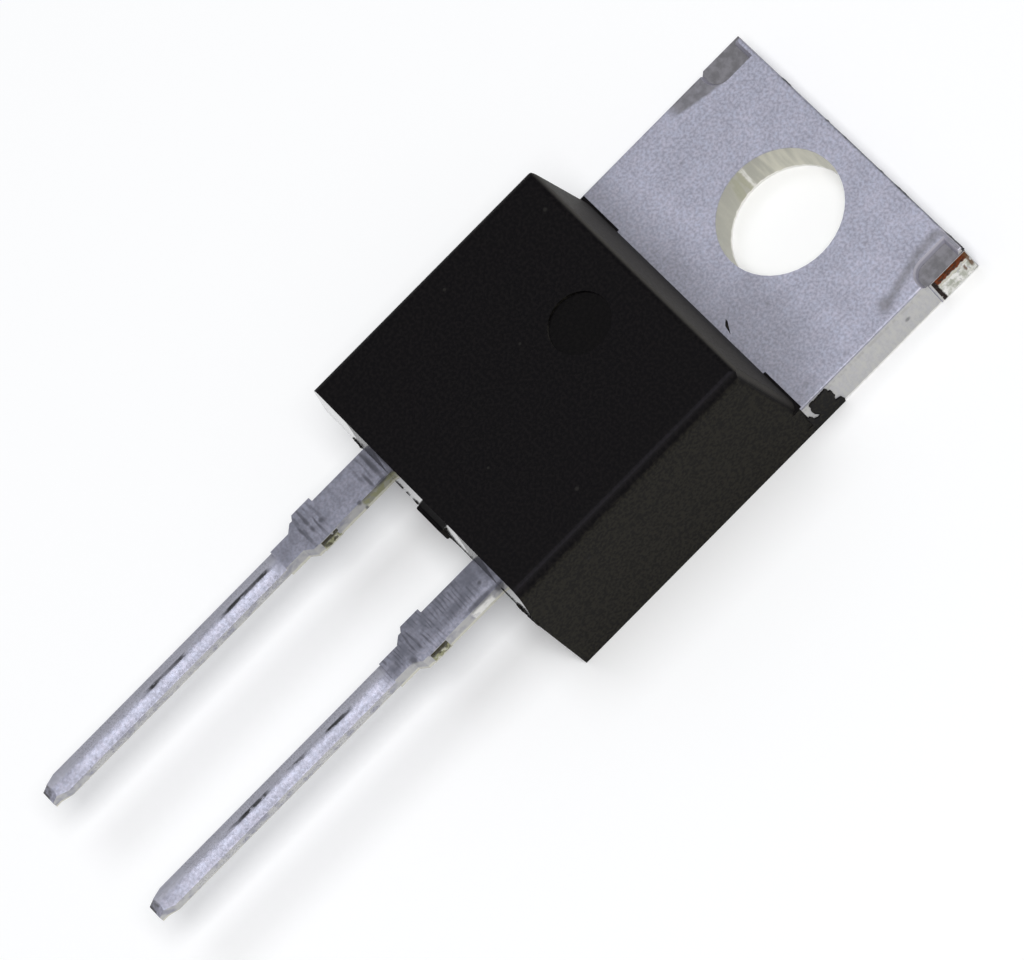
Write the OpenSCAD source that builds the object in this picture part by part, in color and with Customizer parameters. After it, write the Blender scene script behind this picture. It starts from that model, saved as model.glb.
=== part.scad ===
// Two-lead power rectifier: a moulded body on a screw-down metal tab.
// The origin is the mounting hole's centre on the mounting plane.
// X runs across the package, Y from the leads to the tab's free end, Z up from the mounting plane.

/* [Tab and heat spreader] */
// Width of the metal tab
tab_w = 10; // [9.7:0.05:10.6]
// Thickness of the tab and of the heat spreader that carries on under the body
tab_t = 1.27; // [1.1:0.01:1.4]
// Length of bare tab from the body's foot to the tab's free end
tab_len = 6.23; // [5.9:0.01:6.8]
// Distance from the mounting hole's centre to the tab's free end
hole_to_end = 2.72; // [2.6:0.01:3.2]
// Diameter of the mounting hole
hole_d = 3.84; // [3.6:0.01:4.05]
// Die-roll radius along the tab's upper edges
tab_edge_r = 0.07; // [0.03:0.01:0.12]
// Width of the heat spreader where it lies bare in the body's back
spreader_w = 8; // [7:0.05:8.6]
// Length of bare metal on the back, from the tab's free end
back_len = 12.4; // [11.8:0.05:12.8]
// How far the mould-lock ledge stands out of the heat spreader's sides and end
ledge = 0.35; // [0.2:0.05:0.5]
// Height of the ledge's underside above the mounting plane
ledge_z = 0.6; // [0.4:0.05:0.8]

/* [Sheared tie bars of the tab] */
// Length of the sheared stubs along the tab's sides
ear_len = 1.38; // [1:0.02:1.8]
// How far the left stub stands proud of the tab's side
ear_left = 0.14; // [0.02:0.01:0.25]
// How far the right stub stands proud of the tab's side
ear_right = 0.03; // [0.02:0.01:0.25]
// Depth of the coined pocket behind each stub
coin_depth = 0.15; // [0.05:0.01:0.3]
// Reach of the left pocket's rim in from the tab's side
coin_reach_left = 0.74; // [0.6:0.02:1]
// Reach of the right pocket's rim in from the tab's side
coin_reach_right = 0.68; // [0.6:0.02:1]
// Width of the pockets' sloping walls
coin_slope = 0.1; // [0.04:0.02:0.3]
// Length of the pockets past the stubs
coin_run_out = 0.2; // [0.1:0.02:0.5]
// Width of the lip left between each pocket and the tab's free end
coin_lip = 0.13; // [0.09:0.01:0.3]
// Rounding of the corner between a pocket floor's two inner edges
coin_corner_r = 0.42; // [0.1:0.02:0.55]

/* [Moulded body] */
// Height of the body's front face above the mounting plane
body_h = 4.5; // [4.3:0.05:4.8]
// Length of the body from its foot on the tab to the parting line at the lead end
body_len = 9.17; // [8.7:0.01:9.6]
// How far the body stands proud of the tab's sides at the mounting plane
body_proud = 0.03; // [0.02:0.01:0.1]
// Draft angle of the long sides, in degrees
side_draft = 3.2; // [1:0.1:5]
// Draft angle of the end face above the tab, in degrees
tab_end_draft = 8.5; // [3:0.5:12]
// Draft angle of the lead end above the parting line, in degrees
upper_end_draft = 7.5; // [3:0.5:12]
// Draft angle of the lead end below the parting line, in degrees
lower_end_draft = 3.2; // [1:0.1:6]
// Rounding along the front face's long edges
edge_r = 0.4; // [0.2:0.02:0.6]
// Rounding along the front face's edge at the tab
tab_side_r = 0.3; // [0.1:0.01:0.4]
// Rounding of the upright corners at the tab
corner_r = 0.35; // [0.1:0.01:0.4]
// Diameter of the ejector pin's dimple in the front face
dimple_d = 1.9; // [1.5:0.05:2.4]
// Depth of the ejector pin's dimple
dimple_depth = 0.1; // [0.04:0.01:0.2]
// Distance from the body's foot to the dimple's centre
dimple_from_foot = 2.55; // [2.2:0.05:4]
// Width of the broken-off gate between the leads
gate_w = 1.1; // [0.8:0.05:1.6]
// Distance from the parting line down to the broken-off gate
gate_below = 0.03; // [0.01:0.01:0.1]
// Thickness of the broken-off gate
gate_t = 0.56; // [0.4:0.02:0.9]
// How far the broken-off gate stands out of the lead end
gate_proud = 0.12; // [0.06:0.01:0.3]
// Length of the thin flash that crept along the tab's right side
flash_len = 1.06; // [0.9:0.02:1.3]
// Height of the flash's creeping foot
flash_foot = 0.32; // [0.2:0.02:0.4]
// Distance from the body's foot to the ragged patch that stands on the creeping foot
patch_from = 0.18; // [0.1:0.02:0.26]
// Length of the ragged patch
patch_len = 0.76; // [0.6:0.02:0.8]
// Height of the ragged patch above the mounting plane
patch_top = 1.2; // [1:0.02:1.2]
// Diameter of the patch's two large lobes
lobe_d = 0.54; // [0.4:0.02:0.58]
// Diameter of the two small lobes on top of the large ones
cap_d = 0.24; // [0.16:0.02:0.3]
// Length of the thin resin bleed on the tab at each end of the body's foot
bleed_len = 1.6; // [1:0.05:2.4]
// Width of the resin bleed
bleed_w = 0.07; // [0.04:0.01:0.12]
// Thickness of the resin bleed
bleed_t = 0.03; // [0.02:0.01:0.06]

/* [Leads] */
// Distance between the two leads' centre lines
lead_pitch = 5.08; // [4.9:0.01:5.3]
// Height of the leads' undersides above the mounting plane
lead_z = 2.48; // [2.3:0.02:2.8]
// Thickness of the lead strip
lead_t = 0.5; // [0.4:0.01:0.6]
// Length of the leads outside the body
lead_len = 12.92; // [12.2:0.02:14.5]
// Width of the leads next to the body
wide_w = 1.16; // [1:0.02:1.5]
// Width of the long, slim part of the leads
slim_w = 0.74; // [0.6:0.02:0.9]
// Distance from the body to the sheared dam bar
bar_from = 2.02; // [1.6:0.02:2.4]
// Length of the sheared dam bar along the lead
bar_len = 0.68; // [0.4:0.02:0.8]
// How far the dam bar's left stub stands proud of the lead
bar_left = 0.15; // [0.02:0.01:0.25]
// How far the dam bar's right stub stands proud of the lead
bar_right = 0.02; // [0.01:0.01:0.25]
// Distance from the dam bar's end to the shoulder's start
bar_to_shoulder = 0.2; // [0.1:0.02:0.4]
// Length of the shoulder that narrows the lead
shoulder_len = 0.22; // [0.1:0.02:0.5]
// Length of flat, slim lead before the crowned stretch
neck_len = 0.7; // [0.4:0.02:1]
// Crown height on each face of the slim stretch
crown = 0.07; // [0.03:0.01:0.12]
// Depth by which the crowned stretch was coined below the flat strip
crown_drop = 0.02; // [0.01:0.01:0.05]
// Length of the tapered tip
taper_len = 0.56; // [0.3:0.02:1]
// Length of the sheared end of the tip
tip_len = 0.2; // [0.1:0.02:0.25]
// Width of the sheared end of the tip
tip_w = 0.48; // [0.3:0.02:0.58]
// Thickness of the sheared end of the tip
tip_t = 0.3; // [0.2:0.02:0.38]
// Length of the slope from the sheared end up to the lead's upper face
tip_slope = 0.3; // [0.2:0.02:0.5]

/* [Inside the body] */
// Slope of the bend between the heat spreader and the cathode lead, in degrees
bend_angle = 60; // [50:1:75]
// Flat stretch of strip between the heat spreader and the bend
bend_flat = 0.25; // [0.2:0.05:0.4]
// Width of the anode lead's bonding post
post_w = 2.6; // [2.2:0.1:3.2]
// Length of the anode lead's bonding post
post_len = 1.1; // [0.9:0.05:1.3]
// Depth of epoxy between the lead end and the bonding post
post_set_in = 0.5; // [0.3:0.05:0.7]
// Corner chamfer of the bonding post
post_chamfer = 0.25; // [0.1:0.05:0.4]
// Side of the square silicon die
die_w = 3; // [2.6:0.1:3.6]
// Thickness of the silicon die
die_t = 0.3; // [0.2:0.02:0.4]
// Thickness of the solder under the die
solder_t = 0.07; // [0.04:0.01:0.12]
// Width of solder that shows around the die
solder_rim = 0.15; // [0.05:0.05:0.3]
// Distance from the heat spreader's bare end to the die's centre
die_from_end = 2.7; // [2.5:0.05:3.4]
// Diameter of the bond wires
wire_d = 0.38; // [0.3:0.02:0.44]
// Distance between the two bond wires
wire_pitch = 1.1; // [0.9:0.05:1.3]
// Rise of the wire loop above its straight chord
loop_rise = 0.9; // [0.7:0.05:1]
// Length of a flattened bond at a wire's end
bond_len = 0.8; // [0.6:0.05:0.9]
// Width of a flattened bond
bond_w = 0.5; // [0.46:0.02:0.6]
// Height of a flattened bond
bond_t = 0.24; // [0.2:0.02:0.3]

/* [Hidden] */
$fn = 48;
// Steps in a rounded edge's arc
arc_steps = 12;
// Allowance by which cutting shapes reach past what they cut
past = 0.2;

epoxy_colour = "#1d1c1e";
tin_colour = "#a9a9ba";
silicon_colour = "#4a4e58";
solder_colour = "#8f9196";
aluminium_colour = "#c9ccd0";

// Tab and heat spreader
tab_end = hole_to_end;
foot_y = tab_end - tab_len;
tab_side = tab_w / 2;
spreader_end = tab_end - back_len;
ledge_end = spreader_end - ledge;

// Body outline: half widths of the long sides, ends at the front face, the parting line and the back
seam_y = foot_y - body_len;
lead_top = lead_z + lead_t;
body_side = tab_side + body_proud;
front_lead_y = seam_y + (body_h - lead_top) * tan(upper_end_draft);
back_lead_y = seam_y + lead_top * tan(lower_end_draft);

// Leads, measured outwards from the parting line
bar_to = bar_from + bar_len;
shoulder_from = bar_to + bar_to_shoulder;
shoulder_to = shoulder_from + shoulder_len;
crown_from = shoulder_to + neck_len;
lead_x = lead_pitch / 2;

// Bend of the cathode lead
strip_z = tab_t - lead_t;
bend_y = ledge_end - bend_flat;
bend_run = (lead_z - strip_z) / tan(bend_angle);
bend_mitre = lead_t * tan(bend_angle / 2);

// Die, post and bond wires
die_y = spreader_end + die_from_end;
die_top = tab_t + solder_t + die_t;
post_y = seam_y + post_set_in + post_len / 2;
wire_r = wire_d / 2;
wire_dx = lead_x;
wire_dy = die_y - post_y;
wire_run = sqrt(wire_dx * wire_dx + wire_dy * wire_dy);
wire_climb = lead_top - die_top;
wire_chord = sqrt(wire_run * wire_run + wire_climb * wire_climb);
loop_r = (wire_chord * wire_chord / 4 + loop_rise * loop_rise) / (2 * loop_rise);
loop_half_angle = asin(wire_chord / 2 / loop_r);
loop_tilt = atan(wire_climb / wire_run);

// Points of an arc, from one angle to another
function arc(centre, r, from, to) =
  [for (i = [0:arc_steps]) let (a = from + (to - from) * i / arc_steps) centre + r * [cos(a), sin(a)]];

// Points of a flat arch through two end points at the same height, from left to right
function arch(half, z_ends, rise) =
  let (r = (half * half + rise * rise) / (2 * rise), reach = asin(half / r))
  arc([0, z_ends + rise - r], r, 90 + reach, 90 - reach);

// Extrudes an outline drawn in X and Z along Y, from y0 to y1
module along_y(y0, y1) {
  translate([0, y1, 0]) rotate([90, 0, 0]) linear_extrude(y1 - y0) children();
}

// Extrudes an outline drawn in Y and Z along X, from x0 to x1
module along_x(x0, x1) {
  translate([x0, 0, 0]) rotate([90, 0, 90]) linear_extrude(x1 - x0) children();
}

// Body across its width: drafted sides that round into the front face
module body_across() {
  side_x = body_side - (body_h - edge_r) * tan(side_draft);
  centre_x = side_x - edge_r / cos(side_draft);
  centre_z = body_h - edge_r;
  right = arc([centre_x, centre_z], edge_r, side_draft, 90);
  left = arc([-centre_x, centre_z], edge_r, 90, 180 - side_draft);
  polygon(concat([[-body_side, 0], [body_side, 0]], right, left));
}

// Body along its length: drafted ends, the parting seam at the lead end and a round edge at the tab
module body_along() {
  centre_z = body_h - tab_side_r;
  end_y = foot_y - (centre_z - tab_t) * tan(tab_end_draft);
  centre_y = end_y - tab_side_r / cos(tab_end_draft);
  polygon(concat(
    [[back_lead_y, 0], [foot_y, 0], [foot_y, tab_t]],
    arc([centre_y, centre_z], tab_side_r, tab_end_draft, 90),
    [[front_lead_y, body_h], [seam_y, lead_top]]
  ));
}

// What rounding an upright corner takes away above the tab, along the drafted edge where the two faces meet
module corner_waste() {
  edge_x = body_side - tab_t * tan(side_draft);
  lean = atan(tan(tab_end_draft) * cos(side_draft));
  round_off = arc([-corner_r, -corner_r], corner_r, 90, 0);
  intersection() {
    translate([edge_x, foot_y, tab_t])
      rotate([lean, -side_draft, 0])
        translate([0, 0, -past])
          linear_extrude(body_h + past)
            polygon(concat([[past, past], [-corner_r, past]], round_off, [[past, -corner_r]]));
    translate([0, foot_y - tab_w, tab_t]) cube([2 * tab_w, 2 * tab_w, body_h]);
  }
}

// Broken-off gate between the leads, with rounded ends
module gate_stub() {
  corner = gate_proud / 2;
  out = seam_y - gate_proud;
  translate([0, 0, lead_top - gate_below - gate_t])
    linear_extrude(gate_t)
      polygon(concat(
        [[gate_w / 2, seam_y + past], [-gate_w / 2, seam_y + past]],
        arc([-gate_w / 2 + corner, out + corner], corner, 180, 270),
        arc([gate_w / 2 - corner, out + corner], corner, 270, 360)
      ));
}

// Thin film of epoxy on the tab's right side: a creeping foot and a ragged patch of four lobes on it
module side_flash() {
  cap_z = patch_top - cap_d / 2;
  lobe_z = cap_z - lobe_d / 2;
  spread = (patch_len - lobe_d) / 2;
  along_x(tab_side, tab_side + body_proud)
    translate([foot_y, 0]) {
      translate([-past, 0]) square([flash_len + past, flash_foot]);
      translate([patch_from + patch_len / 2, 0]) {
        translate([-lobe_d / 2, 0]) square([lobe_d, lobe_z]);
        for (side = [-1, 1]) {
          translate([side * spread, lobe_z]) circle(d = lobe_d);
          translate([side * 2 * spread, cap_z]) circle(d = cap_d);
        }
      }
    }
}

// Thin resin bleed on the tab, at the right end of the body's foot
module foot_bleed() {
  side = tab_side - tab_edge_r;
  translate([side - bleed_len, foot_y - past, tab_t]) cube([bleed_len, bleed_w + past, bleed_t]);
}

// The body's outer form
module body_form() {
  difference() {
    intersection() {
      along_y(seam_y - past, foot_y + past) body_across();
      along_x(-tab_w, tab_w) body_along();
    }
    corner_waste();
    mirror([1, 0, 0]) corner_waste();
    translate([0, foot_y - dimple_from_foot, body_h - dimple_depth])
      cylinder(d = dimple_d, h = dimple_depth + past);
  }
  gate_stub();
  side_flash();
  foot_bleed();
  mirror([1, 0, 0]) foot_bleed();
}

// Flat end of a lead: from inside the body past the dam bar to the crowned stretch
module flat_lead() {
  wide = wide_w / 2;
  slim = slim_w / 2;
  translate([0, seam_y, lead_z])
    linear_extrude(lead_t)
      polygon([
        [-wide, past],
        [-wide, -bar_from],
        [-wide - bar_left, -bar_from],
        [-wide - bar_left, -bar_to],
        [-wide, -bar_to - bar_to_shoulder / 2],
        [-wide, -shoulder_from],
        [-slim, -shoulder_to],
        [-slim, -crown_from],
        [slim, -crown_from],
        [slim, -shoulder_to],
        [wide, -shoulder_from],
        [wide, -bar_to],
        [wide + bar_right, -bar_to],
        [wide + bar_right, -bar_from],
        [wide, -bar_from],
        [wide, past]
      ]);
}

// Crowned, slim stretch of a lead with its tapered and sheared tip
module crowned_lead() {
  slim = slim_w / 2;
  low = lead_z + crown_drop;
  high = lead_top - crown_drop;
  start = seam_y - crown_from;
  end = seam_y - lead_len;
  intersection() {
    along_y(end - past, start + past)
      polygon(concat(
        arch(slim, high - crown, crown),
        [for (p = arch(slim, -low - crown, crown)) [-p[0], -p[1]]]
      ));
    translate([0, 0, lead_z])
      linear_extrude(lead_t)
        polygon([
          [-slim, start + past],
          [-slim, end + taper_len],
          [-tip_w / 2, end + tip_len],
          [-tip_w / 2, end],
          [tip_w / 2, end],
          [tip_w / 2, end + tip_len],
          [slim, end + taper_len],
          [slim, start + past]
        ]);
    along_x(-wide_w, wide_w)
      polygon([
        [start + past, lead_z],
        [end, lead_z],
        [end, lead_z + tip_t],
        [end + tip_slope, lead_top],
        [start + past, lead_top]
      ]);
  }
}

// One lead outside the body
module lead() {
  flat_lead();
  crowned_lead();
}

// Tab plate with die-rolled upper edges
module tab_plate() {
  r = tab_edge_r;
  high = tab_t - r;
  intersection() {
    along_y(foot_y, tab_end + past)
      polygon(concat(
        [[-tab_side, 0], [tab_side, 0]],
        arc([tab_side - r, high], r, 0, 90),
        arc([r - tab_side, high], r, 90, 180)
      ));
    along_x(-tab_w, tab_w)
      polygon(concat([[foot_y, 0], [tab_end, 0]], arc([tab_end - r, high], r, 0, 90), [[foot_y, tab_t]]));
  }
}

// Sheared tie bar stub on the tab's right side
module tie_stub(proud) {
  linear_extrude(tab_t - coin_depth)
    polygon([
      [tab_side - past, tab_end],
      [tab_side + proud, tab_end],
      [tab_side + proud, tab_end - ear_len],
      [tab_side, tab_end - ear_len - proud],
      [tab_side - past, tab_end - ear_len - proud]
    ]);
}

// Coined pocket behind the right tie bar stub: steep walls with a round corner, and a lip at the tab's end
module coin_pocket(reach) {
  floor_x = tab_side - reach + coin_slope;
  floor_y = tab_end - ear_len - coin_run_out + coin_slope;
  floor_z = tab_t - coin_depth;
  end_y = tab_end - coin_lip - coin_slope;
  turn_x = floor_x + coin_corner_r;
  turn_y = floor_y + coin_corner_r;
  high = tab_t + past;
  widening = coin_slope * (high - floor_z) / coin_depth;
  intersection() {
    along_x(0, tab_w)
      polygon([
        [floor_y - widening, high],
        [floor_y, floor_z],
        [end_y, floor_z],
        [end_y + widening, high]
      ]);
    union() {
      along_y(turn_y, tab_end + past)
        polygon([
          [floor_x - widening, high],
          [floor_x, floor_z],
          [tab_w, floor_z],
          [tab_w, high]
        ]);
      along_y(floor_y - widening, tab_end + past)
        polygon([
          [turn_x, high],
          [turn_x, floor_z],
          [tab_w, floor_z],
          [tab_w, high]
        ]);
      translate([turn_x, turn_y, floor_z])
        cylinder(r1 = coin_corner_r, r2 = coin_corner_r + widening, h = high - floor_z);
    }
  }
}

// Heat spreader under the body, with the ledge that locks it into the epoxy
module spreader() {
  side = spreader_w / 2;
  intersection() {
    along_y(ledge_end, foot_y + past)
      polygon([
        [-side, 0],
        [side, 0],
        [side, ledge_z],
        [side + ledge, ledge_z],
        [side + ledge, tab_t],
        [-side - ledge, tab_t],
        [-side - ledge, ledge_z],
        [-side, ledge_z]
      ]);
    along_x(-tab_w, tab_w)
      polygon([
        [foot_y + past, 0],
        [foot_y + past, tab_t],
        [ledge_end, tab_t],
        [ledge_end, ledge_z],
        [spreader_end, ledge_z],
        [spreader_end, 0]
      ]);
  }
}

// Bent strip that lifts the cathode lead from the heat spreader to the lead plane
module cathode_bend() {
  lift_y = bend_y - bend_run;
  along_x(-lead_x - wide_w / 2, -lead_x + wide_w / 2)
    polygon([
      [ledge_end + past, strip_z],
      [ledge_end + past, tab_t],
      [bend_y + bend_mitre, tab_t],
      [lift_y + bend_mitre, lead_top],
      [seam_y, lead_top],
      [seam_y, lead_z],
      [lift_y, lead_z],
      [bend_y, strip_z]
    ]);
}

// Tab, heat spreader and cathode lead, stamped from one strip
module tab_and_cathode_lead() {
  color(tin_colour) {
    difference() {
      union() {
        tab_plate();
        tie_stub(ear_right);
        mirror([1, 0, 0]) tie_stub(ear_left);
      }
      coin_pocket(coin_reach_right);
      mirror([1, 0, 0]) coin_pocket(coin_reach_left);
      translate([0, 0, -past]) cylinder(d = hole_d, h = tab_t + 2 * past);
    }
    spreader();
    cathode_bend();
    translate([-lead_x, 0, 0]) lead();
  }
}

// Anode lead with its bonding post inside the body
module anode_lead() {
  post = post_w / 2;
  near = post_set_in;
  far = post_set_in + post_len;
  color(tin_colour)
    translate([lead_x, 0, 0]) {
      lead();
      translate([0, seam_y, lead_z])
        linear_extrude(lead_t)
          polygon([
            [-wide_w / 2, 0],
            [wide_w / 2, 0],
            [wide_w / 2, near],
            [post, near],
            [post, far - post_chamfer],
            [post - post_chamfer, far],
            [post_chamfer - post, far],
            [-post, far - post_chamfer],
            [-post, near],
            [-wide_w / 2, near]
          ]);
    }
}

// Rectifying chip
module silicon_die() {
  color(silicon_colour)
    translate([-die_w / 2, die_y - die_w / 2, tab_t + solder_t]) cube([die_w, die_w, die_t]);
}

// Solder that fixes the chip to the heat spreader
module die_solder() {
  side = die_w + 2 * solder_rim;
  color(solder_colour)
    translate([-side / 2, die_y - side / 2, tab_t]) cube([side, side, solder_t]);
}

// Flattened bond at a wire's end, lying along X
module wedge_bond() {
  translate([-bond_len / 2, -bond_w / 2, 0]) cube([bond_len, bond_w, bond_t]);
}

// Bond wire that arches from the chip to the anode lead's post
module bond_wire(offset_x) {
  color(aluminium_colour)
    translate([offset_x, die_y, die_top])
      rotate([0, 0, -atan2(wire_dy, wire_dx)]) {
        wedge_bond();
        translate([wire_run, 0, wire_climb]) wedge_bond();
        translate([0, 0, wire_r])
          rotate([90, -loop_tilt, 0])
            translate([wire_chord / 2, loop_rise - loop_r, 0])
              rotate([0, 0, 90 - loop_half_angle])
                rotate_extrude(angle = 2 * loop_half_angle) translate([loop_r, 0]) circle(d = wire_d);
      }
}

module bond_wire_1() { bond_wire(-wire_pitch / 2); }

module bond_wire_2() { bond_wire(wire_pitch / 2); }

// Epoxy moulded round everything inside it
module moulded_body() {
  color(epoxy_colour)
    difference() {
      body_form();
      tab_and_cathode_lead();
      anode_lead();
      silicon_die();
      die_solder();
      bond_wire_1();
      bond_wire_2();
    }
}

moulded_body();
tab_and_cathode_lead();
anode_lead();
silicon_die();
die_solder();
bond_wire_1();
bond_wire_2();
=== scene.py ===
import math
import random

import bmesh
import bpy
from mathutils import Matrix, Vector, noise


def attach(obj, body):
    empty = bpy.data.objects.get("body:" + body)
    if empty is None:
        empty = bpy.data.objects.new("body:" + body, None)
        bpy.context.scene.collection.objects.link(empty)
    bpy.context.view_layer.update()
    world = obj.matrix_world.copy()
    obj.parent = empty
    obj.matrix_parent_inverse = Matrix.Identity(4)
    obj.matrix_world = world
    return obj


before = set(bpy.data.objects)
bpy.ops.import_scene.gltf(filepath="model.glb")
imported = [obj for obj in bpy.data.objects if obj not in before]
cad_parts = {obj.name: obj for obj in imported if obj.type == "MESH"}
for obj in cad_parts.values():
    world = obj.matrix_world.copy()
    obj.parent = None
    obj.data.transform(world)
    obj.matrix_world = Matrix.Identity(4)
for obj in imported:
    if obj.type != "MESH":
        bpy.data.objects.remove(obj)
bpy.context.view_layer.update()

# A two-lead rectifier diode on its back: black moulded body, tinned screw-down tab, two flat leads.
# Sizes and places are in millimetres, in the part's frame: the origin is the middle of the
# mounting hole on the mounting plane, +Y points to the tab's free end and +Z out of the front face.
MM = 0.001

# Camera: tilts from straight above, the roll about its own axis and the framing
IMAGE_WIDTH = 1024
SENSOR_WIDTH = 36.0
FOCAL_PIXELS = 10384.45
CAMERA_TILT_X = math.radians(32.69)
CAMERA_TILT_Y = math.radians(0.57)
CAMERA_ROLL = math.radians(45.05)
CAMERA_DISTANCE = 286.16
CAMERA_NEAR = 10
FRAME_SHIFT_RIGHT = -7.848
FRAME_SHIFT_UP = -6.899

# Light: each source's share of the level at which a colour renders as it is written
WORLD_SHARE = 0.27
WORLD_COLOUR = (0.97, 0.98, 1.0)
OVERHEAD_SHARE = 0.21
OVERHEAD_COLOUR = (0.95, 0.97, 1.0)
OVERHEAD_FROM = (-0.29, 0.0, 1.0)
OVERHEAD_SIZE = 240
RIGHT_SHARE = 0.535
RIGHT_COLOUR = (1.0, 1.0, 1.0)
RIGHT_FROM = (0.46, 0.0, 1.0)
RIGHT_SIZE = 220
LIGHT_DISTANCE = 500
# Power of a lamp one metre straight above the floor that shows white as white
FULL_LEVEL = math.pi**2

# Floor: a pale sheet under the mounting plane
FLOOR_SIZE = 4000
FLOOR_DROP = 0.01
FLOOR_COLOUR = (0.96, 0.96, 0.96)
FLOOR_GLOW = 0.08

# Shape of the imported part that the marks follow
TAB_TOP = 1.27
TAB_END = 2.72
EAR_FOOT = 1.38
EAR_RIGHT = 5.03
EAR_LEFT = -5.14
EAR_TOP = 1.12
EAR_SIDE = 4.0
HOLE_R = 1.92
BODY_FOOT = -3.51
SEAM_Y = -12.68
SEAM_Z = 2.955
LEAD_TOP = 2.98
LEAD_BOTTOM = 2.48
LEAD_WIDE = 1.16
LEAD_LEFT_X = -2.54
LEAD_RIGHT_X = 2.54
BAR_Y = (-15.38, -14.7)
BAR_LEFT = 0.15
BAR_RIGHT = 0.02
CROWN_Y = -16.5
TIP_Y = -25.6
DIMPLE = (0.0, -6.06, 4.4)
DIMPLE_R = 0.95
GATE_HALF = 0.57
GATE_MARK_LEAN = 0.64

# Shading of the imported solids: corners nearer than this are joined,
# and edges flatter than this are smooth
JOIN_DISTANCE = 0.001
SMOOTH_ANGLE = math.radians(24)

# Colours
TIN_PINK = (0.50, 0.487, 0.588, 1)
TIN_BLUE = (0.475, 0.487, 0.602, 1)
TIN_DARK = (0.285, 0.285, 0.345, 1)
TIN_PAINTED_LIGHT = (0.53, 0.53, 0.59, 1)
TIN_WORN = (0.10, 0.103, 0.13, 1)
TIN_LINE = (0.06, 0.06, 0.075, 1)
# dark tin for painted shade on the tab's face, and for real dots, spots and marks
TIN_SHADE_AND_STAIN = (0.115, 0.113, 0.12, 1)
TIN_WALL = (0.53, 0.525, 0.51, 1)
TIN_CREAM = (0.66, 0.645, 0.555, 1)
TIN_RIM_HIGHLIGHT = (0.585, 0.565, 0.63, 1)
TIN_WHITE = (0.90, 0.89, 0.86, 1)
STAIN_AND_SHADE_GREY = (0.215, 0.208, 0.226, 1)
STAIN_AND_SHADE_DULL = (0.145, 0.141, 0.150, 1)
STAIN_DARK = (0.03, 0.03, 0.033, 1)
HOLE_SHADED_GREY = (0.455, 0.45, 0.395, 1)
OLIVE_WALL = (0.30, 0.30, 0.17, 1)
OLIVE_DARK = (0.035, 0.03, 0.012, 1)
BREAK_GREY = (0.47, 0.48, 0.41, 1)
COPPER_CUT = (0.155, 0.034, 0.008, 1)
BROWN_MARK = (0.05, 0.022, 0.01, 1)
RUST = (0.13, 0.06, 0.022, 1)
BROWN_DARK = (0.02, 0.012, 0.009, 1)
EPOXY_FRONT = (0.0030, 0.0025, 0.0032, 1)
EPOXY_GRAIN = (0.0072, 0.0061, 0.0066, 1)
EPOXY_BROWN = (0.0215, 0.0197, 0.0152, 1)
EPOXY_EDGE_HIGHLIGHT = (0.0135, 0.0117, 0.0152, 1)
EPOXY_END_REFLECTION = (0.064, 0.060, 0.054, 1)
EPOXY_DIMPLE = (0.0014, 0.0012, 0.0008, 1)
EPOXY_SPECK = (0.018, 0.017, 0.016, 1)
SILICON_TONES = ((0.06, 0.065, 0.09, 1), (0.08, 0.085, 0.11, 1))
SOLDER_TONES = ((0.25, 0.25, 0.26, 1), (0.36, 0.36, 0.37, 1))
WIRE_TONES = ((0.55, 0.56, 0.58, 1), (0.66, 0.67, 0.69, 1))

# Finishes: a pair is the least and most roughness over the grain, and depths are of the grain's bumps
TIN_SPECKLE_SHARE = 0.75
TIN_ROUGHNESS = (0.4, 0.5)
TIN_METALLIC = 0.4
TIN_DEPTH = 0.003
DRAWN_GLOSS = 0.16
EPOXY_ROUGHNESS = (0.5, 0.6)
EPOXY_SPECULAR = 0.07
EPOXY_DEPTH = 0.01
POLISHED_ROUGHNESS = 0.04
GATE_ROUGHNESS = 0.4
COAT_ROUGHNESS = 0.1
COAT_IOR = 1.15
COAT_OVER_LEADS = 0.42
FLASH_ROUGHNESS = (0.5, 0.7)

# Tab: a stained strip beside the left ear and painted shade of a shallow groove beside the right one,
# as (y, x) along the left one's inner edge and the right one's middle, and a blot of the same painted
# shade at the right one's end, as (centre, radii)
LEFT_STAIN_EDGE = [(-0.3, -4.64), (0.05, -4.57), (0.71, -4.44), (1.1, -4.36), (1.7, -4.3),
                   (2.47, -4.27), (2.53, -4.85), (2.7, -5.0)]
RIGHT_BAND_LINE = [(-0.2, 4.7), (0.12, 4.61), (0.48, 4.5), (1.1, 4.33), (1.82, 4.13), (2.5, 4.1),
                   (2.7, 4.3)]
RIGHT_BAND_HALF = 0.15
RIGHT_SHADE_BLOT = ((4.53, 0.15, TAB_TOP), (0.22, 0.3, 0.3))
RIGHT_LIP_X = (4.35, 4.5)
STRIP_ENDS = -0.15
# Tab: how dark the line along its end is, as (x, darkness)
END_LINE = [(-5.0, 0.0), (-3.1, 0.2), (-3.0, 0.9), (-2.7, 0.9), (-2.6, 0.3), (-1.1, 0.3), (-1.0, 1.0),
            (-0.9, 0.4), (-0.3, 0.5), (-0.2, 1.0), (-0.1, 0.6), (1.3, 0.5), (1.4, 1.0), (1.5, 0.5),
            (2.0, 0.5), (2.2, 1.0), (2.5, 0.9), (2.7, 0.5), (4.2, 0.5), (4.4, 1.0), (5.1, 1.0)]
END_LINE_WIDTH = 0.04
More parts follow.
